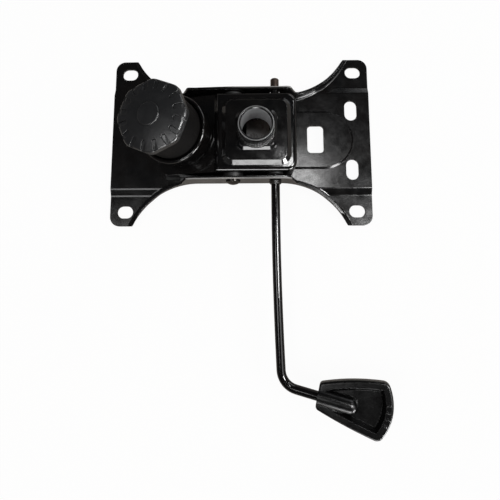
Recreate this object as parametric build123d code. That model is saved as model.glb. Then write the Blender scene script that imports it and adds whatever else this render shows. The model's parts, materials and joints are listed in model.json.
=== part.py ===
from build123d import *
import math
import os

# Swivel plate of an office chair: a seat plate that rocks on a pivot pin over the pan that holds the
# gas spring socket, with a tension knob in front and a side lever.
# Millimetres and degrees. The seat face is z = 0 and +Z points away from the seat, down in use.
# +X points to the chair's rear, and the lever leaves on the -Y side. x = 0, y = 0 is the centre of
# the four corner slots.

# Seat plate sheet and outline
sheet_t = 2.5
plate_half_x = 135.5
plate_half_y = 89.5
outer_corner_r = 10.0
inner_corner_r = 2.0
channel_half = 46.15
waist_r = 75.0
ear_length_rear = 94.5
ear_length_front = 92.5
floor_rise = 2.5
rise_inside = 4.85
rise_run = 7.0
rise_fold_r = 5.0
bend_r = 3.0

# Flange height along the plate
flange_top = 36.3
flange_front_top = 34.0
flange_fall_x = -12.0
flange_past_waist = 9.0
flange_past_rod = 14.6
shoulder_run = 8.0
neck_top = 15.0
ear_flange_top = 9.0
flange_edge_r = 5.5
flange_end_run = 13.5

# Slots and window in the seat plate
slot_edge_x = 15.5
slot_edge_y = 14.5
slot_length = 16.5
slot_width = 12.5
rear_slot_edge = 19.5
rear_slot_span = 63.4
rear_slot_length = 21.5
rear_slot_width = 13.0
window_edge = 57.5
window_length = 17.0
window_width = 29.0
window_r = 4.0

# Pressed boss behind the pan
boss_height = 2.5
boss_r = 31.0
boss_edge = 49.0
boss_start_x = 44.0
boss_draft = 38.0

# Tilt pivot
pivot_x = -6.5
pivot_z = 22.5
pivot_pin_r = 5.0
pivot_head_r = 7.3
pivot_head_height = 4.0
pivot_head_band = 1.2
pin_tail = 4.0
pin_chamfer = 0.8
pivot_clip_r = 7.2
pivot_washer_r = 8.5
pivot_washer_t = 1.6
washer_room = 1.9
groove_width = 1.1
groove_depth = 1.0
tilt_max = 12.0
running_gap = 0.05
side_gap = 0.35

# Pan
pan_top = 38.5
pan_rear_x = 56.0
pan_front_x = -81.0
pan_corner_r = 10.0
pan_edge_r = 4.0
pan_rim_front = 7.5
pan_rim_rear = 19.5
pan_rear_wall_rim = 25.0
step_foot_x = -24.5
step_top_x = -20.5

# Raised squares round the socket
socket_x = 17.0
outer_square_room = 5.7
outer_square_rise = 4.5
outer_square_draft = 43.0
outer_square_r = 11.0
inner_square = 40.0
inner_square_rise = 2.6
inner_square_draft = 49.0
inner_square_r = 8.0
square_edge_r = 1.0

# Gas spring socket
socket_outer_r = 16.6
socket_bore_r = 14.2
socket_mouth_z = 62.0
socket_end_z = 34.0
socket_lead_in = 1.0
weld_leg = 2.2
weld_drop = 1.2

# Tension bolt, spring cup, spring and knob, measured along the bolt from its rocking centre
lean = 14.5
ring_centre_x = -63.5
ring_centre_z = 47.5
ball_r = 9.5
ball_flat = 4.0
ball_seat_gap = 0.3
bolt_r = 5.0
bolt_end = 71.5
deck_top = 14.5
deck_hole_r = 14.5
cup_floor_t = 2.0
cup_wall_t = 2.0
cup_outer_r = 32.5
cup_bead_r = 1.9
cup_hole_r = 8.0
spring_wire_r = 2.5
spring_mean_r = 22.5
spring_turns = 4
spring_end_gap = 0.6
washer_face = 58.0
washer_t = 2.5
washer_outer_r = 25.5
nut_flats = 16.0
nut_t = 8.0
nut_gap = 0.3
bell_rim = 35.3
bell_rim_r = 28.8
bell_wall = 2.5
bell_top_r = 29.8
head_base = 71.5
head_face = 81.1
head_corner_r = 34.4
head_crown_r = 139.0
head_edge_fillet = 10.0
head_rim_fillet = 2.5
head_roof = 6.5
hub_r = 12.0
flute_count = 16
flute_width = 4.2
flute_inner_r = 22.4
flute_depth = 4.8
cap_r = 10.3
cap_sunk = 2.0
cap_proud = 1.0
rib_count = 8
rib_t = 2.0
knob_travel = 6.0
swing_ratio = 0.9

# Lever
rod_x = 35.4
rod_z = 25.0
rod_r = 4.25
rod_stub = 12.0
rod_bow_start = 16.0
rod_bow_end = -225.0
rod_bow = 3.5
rod_bend_r = 17.0
rod_sweep = 77.5
rod_rise = 12.0
neck_length = 20.0
rod_in_grip = 26.0
lever_push = 4.5
collar_r = 5.7
collar_t = 3.6
collar_pin_r = 1.25
pocket_gap = 0.35
rod_slot_gap = 0.45
rod_flat = 1.0
rod_flat_half = 32.0
clip_t = 1.0
clip_r = 6.6

# Bushes
pivot_bush_r = 6.5
pivot_bush_flange_r = 10.0
pivot_bush_flange_t = 3.9
rod_bush_r = 5.5
rod_bush_flange_r = 7.5
rod_bush_flange_t = 1.5
bush_inner_reach = 2.0

# Release arm, seen through the socket
arm_tip_x = 6.5
arm_heel_x = 30.0
arm_z = 15.5
arm_t = 2.0
arm_side_room = 16.7
arm_hub_r = 8.0
arm_gap = 0.1

# Lever return spring
return_wire_r = 0.7
return_mean_r = 6.4
return_turns = 3
return_start_gap = 1.6
return_pitch = 1.9
return_leg_in = 12.0
return_leg_out = 9.0

# Grip, measured from where the rod enters it
grip_length = 65.0
grip_end_r = 44.0
grip_end_y = 3.4
grip_entry_up = 12.3
grip_entry_down = 10.4
grip_up_at = 29.8
grip_up = 22.9
grip_down_at = 29.0
grip_down = 17.2
grip_far = 72.0
grip_far_up = 29.6
grip_far_down = 23.2
grip_corner_r = 6.5
grip_entry_r = 3.5
grip_below = 7.6
grip_above = 4.4
grip_under_r = 4.5
grip_crest_r = 2.2
grip_rim = 6.4
grip_tray = 6.0
grip_tray_draft = 25.0
grip_boss_r = 7.6
grip_boss_length = 28.5
grip_rib_count = 4
grip_rib_pitch = 8.2
grip_rib_first = 10.0
grip_rib_width = 1.6
grip_rib_length = 3.4
grip_rib_rise = 0.6

# Rubber pads
front_pad_x = -70.0
front_pad_length = 14.0
front_pad_width = 8.0
rear_pad_length = 7.0
rear_pad_width = 44.0
pad_gap = 0.3

# Values worked out from the sizes above
waist_rear_x = plate_half_x - ear_length_rear
waist_front_x = ear_length_front - plate_half_x
rise_inner_y = channel_half + rise_inside
rise_outer_y = rise_inner_y + rise_run
flange_front_x = waist_front_x - flange_past_waist
flange_rear_x = rod_x + flange_past_rod
slot_span_x = 2 * (plate_half_x - slot_edge_x)
slot_span_y = 2 * (plate_half_y - slot_edge_y)
rear_slot_x = plate_half_x - rear_slot_edge
window_x = plate_half_x - window_edge
boss_centre_x = plate_half_x - boss_edge
floor_top = floor_rise + sheet_t
channel_inner = channel_half - sheet_t
pan_half_y = channel_inner - side_gap - pivot_bush_flange_t
pan_inner_y = pan_half_y - sheet_t
outer_square = 2 * (pan_half_y - outer_square_room)
arm_half_y = pan_inner_y - arm_side_room
rod_far_end = channel_half + rod_stub
tilt_rad = math.radians(tilt_max)
lean_rad = math.radians(lean)
bolt_dir = Vector(-math.sin(lean_rad), 0, math.cos(lean_rad))
ring_centre = Vector(ring_centre_x, 0, ring_centre_z)
pivot = Vector(pivot_x, 0, pivot_z)
ring_s = (ring_centre - pivot).dot(bolt_dir)
anchor = ring_centre - bolt_dir * ring_s
bolt_plane = Plane(origin=anchor, x_dir=(math.cos(lean_rad), 0, math.sin(lean_rad)), z_dir=bolt_dir)
cup_floor_top = deck_top + cup_floor_t
ball_seat_r = ball_r + ball_seat_gap


def tilted(x, z, degrees):
    """A point of the pan, in the X-Z plane, after the pan has turned about the pivot."""
    turn = math.radians(degrees)
    dx = x - pivot_x
    dz = z - pivot_z
    new_x = pivot_x + dx * math.cos(turn) + dz * math.sin(turn)
    new_z = pivot_z + dz * math.cos(turn) - dx * math.sin(turn)
    return new_x, new_z


def cylinder_y(x, z, radius, y_from, y_to):
    """A cylinder along Y between two places."""
    profile = Plane(origin=(x, y_from, z), x_dir=(1, 0, 0), z_dir=(0, 1, 0)) * Circle(radius)
    return extrude(profile, y_to - y_from)


def prism_y(points, half_y):
    """A prism along Y, symmetric about y = 0, from corners in the X-Z plane."""
    face = Plane.XZ * make_face(Polyline(*points, close=True))
    return extrude(face, half_y, both=True)


def waist_x(centre_x, side, y):
    """Where the waist arc round centre_x stands at height y of the outline."""
    drop = channel_half + waist_r - y
    return centre_x + side * math.sqrt(waist_r**2 - drop**2)


def plate_outline():
    """Flat outline of the seat plate: four ears joined by a channel with round waists."""
    rear_in = waist_x(waist_rear_x, 1, plate_half_y)
    front_in = waist_x(waist_front_x, -1, plate_half_y)
    middle_y = (channel_half + plate_half_y) / 2
    rear_middle = (waist_x(waist_rear_x, 1, middle_y), middle_y)
    front_middle = (waist_x(waist_front_x, -1, middle_y), middle_y)
    half = Curve() + [
        Line((plate_half_x, 0), (plate_half_x, plate_half_y)),
        Line((plate_half_x, plate_half_y), (rear_in, plate_half_y)),
        ThreePointArc((rear_in, plate_half_y), rear_middle, (waist_rear_x, channel_half)),
        Line((waist_rear_x, channel_half), (waist_front_x, channel_half)),
        ThreePointArc((waist_front_x, channel_half), front_middle, (front_in, plate_half_y)),
        Line((front_in, plate_half_y), (-plate_half_x, plate_half_y)),
        Line((-plate_half_x, plate_half_y), (-plate_half_x, 0)),
    ]
    face = make_face(half + mirror(half, Plane.XZ))
    at_end = [v for v in face.vertices() if abs(abs(v.Y) - plate_half_y) < 0.01]
    outer = [v for v in at_end if abs(abs(v.X) - plate_half_x) < 0.01]
    inner = [v for v in at_end if abs(abs(v.X) - plate_half_x) > 1]
    face = fillet(outer, outer_corner_r)
    near = [v for v in face.vertices() if any((v.center() - w.center()).length < 0.01 for w in inner)]
    return fillet(near, inner_corner_r)


def tub_outline():
    """The waists and the channel between them, run out past the ears on all sides."""
    far_x = plate_half_x + 15
    far_y = plate_half_y + 20
    middle_y = (channel_half + far_y) / 2
    rear_in = waist_x(waist_rear_x, 1, far_y)
    front_in = waist_x(waist_front_x, -1, far_y)
    rear_middle = (waist_x(waist_rear_x, 1, middle_y), middle_y)
    front_middle = (waist_x(waist_front_x, -1, middle_y), middle_y)
    half = Curve() + [
        Line((far_x, 0), (far_x, far_y)),
        Line((far_x, far_y), (rear_in, far_y)),
        ThreePointArc((rear_in, far_y), rear_middle, (waist_rear_x, channel_half)),
        Line((waist_rear_x, channel_half), (waist_front_x, channel_half)),
        ThreePointArc((waist_front_x, channel_half), front_middle, (front_in, far_y)),
        Line((front_in, far_y), (-far_x, far_y)),
        Line((-far_x, far_y), (-far_x, 0)),
    ]
    face = make_face(half + mirror(half, Plane.XZ))
    return fillet([v for v in face.vertices() if abs(abs(v.Y) - far_y) < 0.01], 3 * bend_r)


def joggled_section(low, high):
    """Slab between two offsets of the joggled sheet's lower face, wider than the plate."""
    end = plate_half_y + 30
    lower = [(-end, low), (-rise_outer_y, low), (-rise_inner_y, low + floor_rise)]
    lower += [(-y, z) for y, z in reversed(lower)]
    upper = [(end, high), (rise_outer_y, high), (rise_inner_y, high + floor_rise)]
    upper += [(-y, z) for y, z in reversed(upper)]
    face = make_face(Polyline(*(lower + upper), close=True))
    folds = [v for v in face.vertices() if abs(v.X) < rise_outer_y + 1]
    return extrude(Plane.YZ * fillet(folds, rise_fold_r), plate_half_x + 30, both=True)


def flange_envelope():
    """Space under the flange's cut edge, with the ends of the flange sloped off."""
    points = [
        (-plate_half_x - 1, -1),
        (-plate_half_x - 1, ear_flange_top - 2),
        (-plate_half_x + 25, ear_flange_top - 2),
        (flange_front_x - 3 * shoulder_run, (ear_flange_top + neck_top) / 2),
        (flange_front_x - shoulder_run, neck_top),
        (flange_front_x, flange_front_top),
        (flange_fall_x, flange_top),
        (flange_rear_x, flange_top),
        (flange_rear_x + shoulder_run, neck_top),
        (flange_rear_x + 4 * shoulder_run, (ear_flange_top + neck_top) / 2),
        (plate_half_x - 25, ear_flange_top - 2),
        (plate_half_x + 1, ear_flange_top - 2),
        (plate_half_x + 1, -1),
    ]
    face = make_face(Polyline(*points, close=True))
    shoulders = [v for v in face.vertices() if v.Y > neck_top - 1]
    along = extrude(Plane.XZ * fillet(shoulders, flange_edge_r), plate_half_y + 1, both=True)
    slope_start = plate_half_y - flange_end_run
    half = [
        (plate_half_y + 1, -1),
        (plate_half_y + 1, sheet_t + 0.1),
        (plate_half_y, sheet_t + 0.1),
        (slope_start, ear_flange_top),
        (slope_start, flange_top + 1),
    ]
    ends = half + [(-y, z) for y, z in reversed(half)]
    return along & extrude(Plane.YZ * make_face(Polyline(*ends, close=True)), plate_half_x + 1, both=True)


def boss_face(inset):
    """D shape of the pressed boss, smaller by inset all round."""
    radius = boss_r - inset
    start = boss_start_x + inset
    straight = Pos((start + boss_centre_x) / 2, 0) * Rectangle(boss_centre_x - start, 2 * radius)
    return straight + Pos(boss_centre_x, 0) * Circle(radius)


def bolt_dome(extra):
    """The dome over the bolt's ball, as a solid of the ball seat's radius plus extra."""
    radius = ball_seat_r + extra
    wall = Pos(anchor.X, 0, anchor.Z / 2) * Cylinder(radius, anchor.Z)
    return wall + Pos(anchor.X, 0, anchor.Z) * Sphere(radius)


def shank_slot():
    """Slot in the dome that lets the bolt rock with the pan."""
    reach = ball_seat_r + sheet_t
    upright = lean - tilt_max * swing_ratio
    far = anchor.X - reach * math.sin(lean_rad) - rod_slot_gap
    near = anchor.X - reach * math.sin(math.radians(upright)) + rod_slot_gap
    width = 2 * (bolt_r + rod_slot_gap)
    slot = Pos((far + near) / 2, 0, anchor.Z + bolt_r) * SlotCenterToCenter(near - far, width)
    return extrude(slot, 3 * ball_r)


def rod_arc(radius):
    """Slot along the rod's way round the pivot, in the X-Z plane, with round ends of that radius."""
    dx = rod_x - pivot_x
    dz = rod_z - pivot_z
    start = math.degrees(math.atan2(dz, dx))
    way = CenterArc((pivot_x, pivot_z), math.hypot(dx, dz), start - tilt_max, tilt_max)
    return SlotArc(way, 2 * radius)


def lever_slots():
    """Slot in both flanges for the rod, and in the near one a pocket for the collar at each end."""
    cuts = [extrude(Plane.XZ * rod_arc(rod_r + rod_slot_gap), channel_half + 1, both=True)]
    for x, z in ((rod_x, rod_z), tilted(rod_x, rod_z, tilt_max)):
        cuts.append(cylinder_y(x, z, collar_r + pocket_gap, -channel_half - 1, -channel_inner + 1))
    return cuts


def seat_plate():
    tub = tub_outline()
    inner = offset(tub, -sheet_t)
    wall = extrude(tub, flange_top + 5) - extrude(inner, flange_top + 5)
    folded = extrude(tub, flange_top + 5) & joggled_section(0, sheet_t)
    folded += wall & joggled_section(0, 2 * flange_top)
    folded = fillet(fold_edges(folded, inner, sheet_t, floor_top), bend_r)
    folded = fillet(fold_edges(folded, tub, 0, floor_rise), bend_r + sheet_t)
    plate = folded & extrude(plate_outline(), flange_top + 1) & flange_envelope()
    plate += Pos(0, 0, floor_top) * extrude(boss_face(0), boss_height, taper=boss_draft)
    plate -= Pos(0, 0, floor_rise) * extrude(boss_face(sheet_t / 2), boss_height, taper=boss_draft)
    plate += bolt_dome(sheet_t) & Pos(0, 0, 50 + floor_rise) * Box(300, 300, 100)
    plate -= bolt_dome(0)
    plate -= shank_slot()
    for x in (-slot_span_x / 2, slot_span_x / 2):
        for y in (-slot_span_y / 2, slot_span_y / 2):
            plate -= Pos(x, y, -1) * extrude(SlotOverall(slot_length, slot_width), floor_top + 2)
    for y in (-rear_slot_span / 2, rear_slot_span / 2):
        slot = SlotOverall(rear_slot_length, rear_slot_width, rotation=90)
        plate -= Pos(rear_slot_x, y, -1) * extrude(slot, floor_top + boss_height + 2)
    window = RectangleRounded(window_length, window_width, window_r)
    plate -= Pos(window_x, 0, -1) * extrude(window, floor_top + boss_height + 2)
    plate -= cylinder_y(pivot_x, pivot_z, pivot_pin_r, -channel_half - 1, channel_half + 1)
    for cut in lever_slots():
        plate -= cut
    return plate


def fold_edges(shape, outline, z_from, z_to):
    """Edges that run along outline, seen from above, between two heights."""
    rim = outline.wires()[0]
    found = []
    for edge in shape.edges():
        box = edge.bounding_box()
        places = [edge @ 0, edge @ 0.5, edge @ 1]
        level = z_from - 0.01 < box.min.Z and box.max.Z < z_to + 0.01
        if level and all(rim.distance_to(Vector(p.X, p.Y, 0)) < 0.02 for p in places):
            found.append(edge)
    return found


def pan_profile(inset):
    """X-Z outline of the pan's face from rear to front, set in by the sheet, open below."""
    low = -60.0
    along = Vector(math.cos(lean_rad), 0, math.sin(lean_rad))
    deck = anchor + bolt_dir * (deck_top - inset)

    def deck_point(x):
        return x, deck.Z + (x - deck.X) * along.Z / along.X

    slide = inset * math.tan(math.radians(25))
    top = pan_top - inset
    return [
        (pan_rear_x - inset, low),
        (pan_rear_x - inset, top),
        (step_top_x + slide, top),
        deck_point(step_foot_x + slide),
        deck_point(pan_front_x + inset),
        (pan_front_x + inset, low),
    ]


def pan_body(inset, corner_r):
    """The pan's envelope, with round corners in plan."""
    length = pan_rear_x - pan_front_x - 2 * inset
    centre_x = (pan_rear_x + pan_front_x) / 2
    plan = Pos(centre_x, 0, -60) * RectangleRounded(length, 2 * (pan_half_y - inset), corner_r)
    return prism_y(pan_profile(inset), pan_half_y - inset) & extrude(plan, 140)


def raised_square(side, rise, draft, corner_r, z, inset):
    """A raised square on the pan's face, smaller by inset where it forms the inner side."""
    square = RectangleRounded(side - 2 * inset, side - 2 * inset, corner_r - inset / 2)
    return Pos(socket_x, 0, z - inset) * extrude(square, rise, taper=draft)


def pan_skin(inset, corner_r):
    """One side of the pan's sheet: the envelope with both raised squares."""
    square_z = pan_top + outer_square_rise
    body = pan_body(inset, corner_r)
    shift = inset * 0.8
    first = (outer_square, outer_square_rise, outer_square_draft, outer_square_r)
    second = (inner_square, inner_square_rise, inner_square_draft, inner_square_r)
    body += raised_square(*first, pan_top, shift)
    body += raised_square(*second, square_z, shift)
    return body


def pan_rim_cut():
    """Everything below the pan's rim, which rises to the rear so that the pan can tilt."""
    slope = math.tan(tilt_rad)
    knee_x = pan_rear_x - (pan_rim_rear - pan_rim_front) / slope
    side = [
        (pan_front_x - 5, -70),
        (pan_front_x - 5, pan_rim_front),
        (knee_x, pan_rim_front),
        (pan_rear_x + 5, pan_rim_rear + 5 * slope),
        (pan_rear_x + 5, -70),
    ]
    below = prism_y(side, pan_half_y + 5)
    rear = Pos(pan_rear_x, 0, pan_rear_wall_rim - 50) * Box(4 * sheet_t, 2 * (pan_inner_y - 3), 100)
    return below + rear


def lower_housing():
    outer = pan_skin(0, pan_corner_r)
    outer = fillet(outer.edges().filter_by(is_pan_edge), pan_edge_r)
    outer = fillet(outer.edges().filter_by(is_square_edge), square_edge_r)
    pan = outer - pan_skin(sheet_t, pan_corner_r - sheet_t) - pan_rim_cut()
    pan -= Pos(socket_x, 0, 0) * extrude(Circle(socket_outer_r), 80)
    pan -= bolt_plane * Cylinder(deck_hole_r, 2 * deck_top + 10)
    pan -= cylinder_y(pivot_x, pivot_z, pivot_bush_r, -pan_half_y - 1, pan_half_y + 1)
    pan -= cylinder_y(rod_x, rod_z, rod_bush_r, -pan_half_y - 1, pan_half_y + 1)
    return pan


def is_pan_edge(edge):
    """The long top edges of the pan's main face, its rear edge and the corners between them."""
    box = edge.bounding_box()
    level = abs(box.min.Z - pan_top) < 0.01 and abs(box.max.Z - pan_top) < 0.01
    outside = max(abs(box.min.Y), abs(box.max.Y)) > pan_half_y - 0.1 or box.max.X > pan_rear_x - 0.1
    return level and outside


def is_square_edge(edge):
    """The upper edges of both raised squares."""
    box = edge.bounding_box()
    level = abs(box.max.Z - box.min.Z) < 0.01
    tops = (pan_top + outer_square_rise, pan_top + outer_square_rise + inner_square_rise)
    reach = max(abs(box.min.Y), abs(box.max.Y))
    outer_top = abs(box.min.Z - tops[0]) < 0.01 and reach > inner_square / 2 + 1
    inner_top = abs(box.min.Z - tops[1]) < 0.01
    return level and (outer_top or inner_top)


def taper_tube():
    tube = Circle(socket_outer_r) - Circle(socket_bore_r)
    body = Pos(socket_x, 0, socket_end_z) * extrude(tube, socket_mouth_z - socket_end_z)
    mouth = body.edges().filter_by(GeomType.CIRCLE).group_by(Axis.Z)[-1]
    return chamfer(mouth.sort_by(SortBy.RADIUS)[0], socket_lead_in)


def tube_weld():
    base = pan_top + outer_square_rise + inner_square_rise
    corner = (socket_outer_r, base - weld_drop)
    toe = (socket_outer_r + weld_leg, base - weld_drop)
    foot = (socket_outer_r + weld_leg, base)
    head = (socket_outer_r, base + weld_leg)
    bulge = (socket_outer_r + 0.62 * weld_leg, base + 0.62 * weld_leg)
    outline = Polyline(head, corner, toe, foot) + ThreePointArc(foot, bulge, head)
    ring = revolve(Plane.XZ * make_face(outline), Axis.Z)
    return Pos(socket_x, 0, 0) * ring - lower_housing()


def pivot_pin():
    end = channel_half + pin_tail
    groove = channel_half + washer_room
    top = -channel_half - pivot_head_height
    crown = pivot_head_height - pivot_head_band
    crown_r = (pivot_head_r**2 + crown**2) / (2 * crown)
    crown_side = (pivot_head_r, top + crown)
    crown_middle = (pivot_head_r / 2, top + crown_r - math.sqrt(crown_r**2 - pivot_head_r**2 / 4))
    outline = Curve() + [
        Line((0, top), (0, end)),
        Polyline(
            (0, end),
            (pivot_pin_r - pin_chamfer, end),
            (pivot_pin_r, end - pin_chamfer),
            (pivot_pin_r, groove + groove_width),
            (pivot_pin_r - groove_depth, groove + groove_width),
            (pivot_pin_r - groove_depth, groove),
            (pivot_pin_r, groove),
            (pivot_pin_r, -channel_half),
            (pivot_head_r, -channel_half),
            crown_side,
        ),
        ThreePointArc(crown_side, crown_middle, (0, top)),
    ]
    pin = revolve(Plane.XY * make_face(outline), Axis.Y)
    return Pos(pivot_x, 0, pivot_z) * pin


def e_clip(x, z, y, groove_r, outer_r):
    """Spring steel retaining ring with an open mouth, lying in a groove, from y on."""
    plane = Plane(origin=(x, y, z), x_dir=(1, 0, 0), z_dir=(0, 1, 0))
    ring = Circle(outer_r) - Circle(groove_r)
    ring -= Pos(outer_r / 2 + groove_r / 2, 0) * Rectangle(outer_r + groove_r, 1.5 * groove_r)
    for side in (-1, 1):
        relief = Pos(-0.25 * groove_r, side * groove_r * 1.18) * Circle(groove_r * 0.26)
        ring -= relief
    return extrude(plane * ring, clip_t)


def pivot_clip():
    place = channel_half + washer_room + (groove_width - clip_t) / 2
    return e_clip(pivot_x, pivot_z, place, pivot_pin_r - groove_depth, pivot_clip_r)


def pivot_washer():
    washer = cylinder_y(pivot_x, pivot_z, pivot_washer_r, channel_half, channel_half + pivot_washer_t)
    return washer - cylinder_y(pivot_x, pivot_z, pivot_pin_r + running_gap, 0, 60)


def flanged_bush(x, z, barrel_r, flange_r, bore_r, flange_t, side):
    """Nylon bush in the pan's wall, with its flange outside."""
    inner_end = pan_inner_y - bush_inner_reach
    barrel = cylinder_y(x, z, barrel_r, inner_end, pan_half_y)
    flange = cylinder_y(x, z, flange_r, pan_half_y, pan_half_y + flange_t)
    flange = chamfer(flange.edges().group_by(Axis.Y)[-1], 0.5)
    bush = barrel + flange - cylinder_y(x, z, bore_r, 0, 60)
    return bush if side > 0 else mirror(bush, Plane.XZ)


def pivot_bushes():
    bore = pivot_pin_r + running_gap
    sizes = (pivot_bush_r, pivot_bush_flange_r, bore, pivot_bush_flange_t)
    return [flanged_bush(pivot_x, pivot_z, *sizes, side) for side in (-1, 1)]


def rod_bushes():
    bore = rod_r + running_gap
    sizes = (rod_bush_r, rod_bush_flange_r, bore, rod_bush_flange_t)
    return [flanged_bush(rod_x, rod_z, *sizes, side) for side in (-1, 1)]


def spring_cup():
    wall_in = cup_outer_r - cup_wall_t
    bead_centre = ring_s - cup_bead_r
    section = Curve() + [
        Line((cup_hole_r, deck_top), (cup_outer_r - 3, deck_top)),
        ThreePointArc(
            (cup_outer_r - 3, deck_top),
            (cup_outer_r - 3 + 3 * math.sin(math.pi / 4), deck_top + 3 - 3 * math.cos(math.pi / 4)),
            (cup_outer_r, deck_top + 3),
        ),
        Line((cup_outer_r, deck_top + 3), (cup_outer_r, bead_centre)),
        Line((cup_outer_r, bead_centre), (wall_in, bead_centre)),
        Line((wall_in, bead_centre), (wall_in, cup_floor_top)),
        Line((wall_in, cup_floor_top), (cup_hole_r, cup_floor_top)),
        Line((cup_hole_r, cup_floor_top), (cup_hole_r, deck_top)),
    ]
    cup = revolve(Plane.XZ * make_face(section), Axis.Z)
    bead = Pos(0, 0, bead_centre) * Torus(cup_outer_r - cup_wall_t / 2 + 0.4, cup_bead_r)
    return bolt_plane * (cup + bead)


def biarc(start, start_dir, end, end_dir):
    """Two arcs that leave start and reach end along the given directions."""
    chord = end - start
    total = start_dir + end_dir
    spread = 2 * (1 - start_dir.dot(end_dir))
    lean_on = chord.dot(total)
    reach = (-lean_on + math.sqrt(lean_on**2 + spread * chord.dot(chord))) / spread
    middle = (start + start_dir * reach + end - end_dir * reach) * 0.5
    middle_dir = (end - end_dir * reach - middle).normalized()
    return [TangentArc(start, middle, tangent=start_dir), TangentArc(middle, end, tangent=middle_dir)]


def coil_path(mean_r, rises, steps_per_turn):
    """Helix-like path round Z on biarcs. rises gives each step's climb, from z = 0."""
    edges = []
    height = 0.0
    turn = 2 * math.pi / steps_per_turn

    def place(index, z):
        return Vector(mean_r * math.cos(index * turn), mean_r * math.sin(index * turn), z)

    def heading(index, climb):
        slope = climb / (mean_r * turn)
        return Vector(-math.sin(index * turn), math.cos(index * turn), slope).normalized()

    for index, climb in enumerate(rises):
        before = rises[index - 1] if index > 0 else climb
        after = rises[index + 1] if index + 1 < len(rises) else climb
        start = place(index, height)
        end = place(index + 1, height + climb)
        start_dir = heading(index, (before + climb) / 2)
        end_dir = heading(index + 1, (climb + after) / 2)
        edges += biarc(start, start_dir, end, end_dir)
        height += climb
    return edges, height


def least_coil_gap(rises, steps_per_turn, wire_r):
    """Least gap between one turn of a coil and the next, from the climbs over each turn."""
    gaps = [sum(rises[i:i + steps_per_turn]) for i in range(len(rises) - steps_per_turn + 1)]
    return min(gaps) - 2 * wire_r


def main_spring():
    """Compression spring with closed ends, standing in the cup under the thrust washer."""
    steps = 4
    length = washer_face - cup_floor_top - 2 * spring_wire_r
    closed = 2 * spring_wire_r + spring_end_gap
    end_rise = [closed / steps] * steps
    free_turns = spring_turns - 2
    free_rise = (length - 2 * closed) / (free_turns * steps)
    rises = end_rise + [free_rise] * (free_turns * steps) + end_rise
    edges, height = coil_path(spring_mean_r, rises, steps)
    path = Wire(edges)
    start = Plane(origin=path @ 0, z_dir=path % 0)
    coil = sweep(start * Circle(spring_wire_r), path=path)
    print("main spring least gap", round(least_coil_gap(rises, steps, spring_wire_r), 2))
    return bolt_plane * (Pos(0, 0, cup_floor_top + spring_wire_r) * coil)


def tension_bolt():
    ball = Sphere(ball_r) & Pos(0, 0, ball_r - ball_flat) * Box(4 * ball_r, 4 * ball_r, 2 * ball_r)
    shank = extrude(Circle(bolt_r), bolt_end)
    shank = chamfer(shank.edges().group_by(Axis.Z)[-1], 1.0)
    return bolt_plane * (ball + shank)


def thrust_washer():
    ring = extrude(Circle(washer_outer_r) - Circle(bolt_r + running_gap), washer_t)
    return bolt_plane * (Pos(0, 0, washer_face) * ring)


def nut_seat():
    return washer_face + washer_t + nut_gap


def knob_nut():
    nut = extrude(RegularPolygon(nut_flats / 2, 6, major_radius=False), nut_t)
    nut -= extrude(Circle(bolt_r + running_gap), nut_t)
    return bolt_plane * (Pos(0, 0, nut_seat()) * nut)


def knob_flutes():
    """Round-ended cuts in the knob's face, one on each side of every corner."""
    cuts = []
    run = head_corner_r + 5 - flute_inner_r
    slot = Pos(flute_inner_r + run / 2 + flute_width / 2, 0) * SlotCenterToCenter(run, flute_width)
    cut = Pos(0, 0, head_face - flute_depth) * extrude(slot, flute_depth + 5)
    for index in range(flute_count):
        cuts.append(Rot(0, 0, (index + 0.5) * 360 / flute_count) * cut)
    return cuts


def tension_knob():
    octagon = fillet(RegularPolygon(head_corner_r, flute_count // 2).vertices(), head_edge_fillet)
    head = Pos(0, 0, head_base) * extrude(octagon, head_face - head_base)
    head &= Pos(0, 0, head_face - head_crown_r) * Sphere(head_crown_r)
    head = fillet(head.faces().sort_by(Axis.Z)[-1].edges(), head_rim_fillet)
    bell = Pos(0, 0, bell_rim) * extrude(Circle(bell_rim_r), head_base - bell_rim, taper=-bell_draft())
    cavity_top = head_face - head_roof
    cavity_r = bell_rim_r - bell_wall
    cavity = Pos(0, 0, bell_rim) * extrude(Circle(cavity_r), cavity_top - bell_rim, taper=-bell_draft() / 2)
    hub = Pos(0, 0, nut_seat() + 0.5) * extrude(Circle(hub_r), cavity_top - nut_seat())
    knob = head + bell - cavity
    for index in range(rib_count):
        rib = Pos(hub_r + (cavity_r - hub_r) / 2, 0, (head_base + cavity_top) / 2)
        rib = rib * Box(cavity_r - hub_r + 3, rib_t, cavity_top - head_base + 1)
        knob += Rot(0, 0, 360 / rib_count * index) * rib
    knob += hub
    bore = Pos(0, 0, nut_seat()) * extrude(Circle(bolt_r + 0.6), head_face)
    pocket = Pos(0, 0, nut_seat()) * extrude(RegularPolygon(nut_flats / 2, 6, major_radius=False), nut_t)
    recess = Pos(0, 0, head_face - cap_sunk) * extrude(Circle(cap_r), cap_sunk + 1)
    knob = knob - bore - pocket - recess
    for cut in knob_flutes():
        knob -= cut
    return bolt_plane * knob


def bell_draft():
    return math.degrees(math.atan((bell_top_r - bell_rim_r) / (head_base - bell_rim)))


def knob_cap():
    cap = Pos(0, 0, head_face - cap_sunk) * extrude(Circle(cap_r), cap_sunk + cap_proud)
    cap = fillet(cap.edges().group_by(Axis.Z)[-1], cap_proud * 0.8)
    return bolt_plane * cap


def neck_direction():
    plan = math.radians(-90 + rod_sweep)
    rise = math.radians(rod_rise)
    return Vector(math.cos(plan) * math.cos(rise), math.sin(plan) * math.cos(rise), math.sin(rise))


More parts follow.
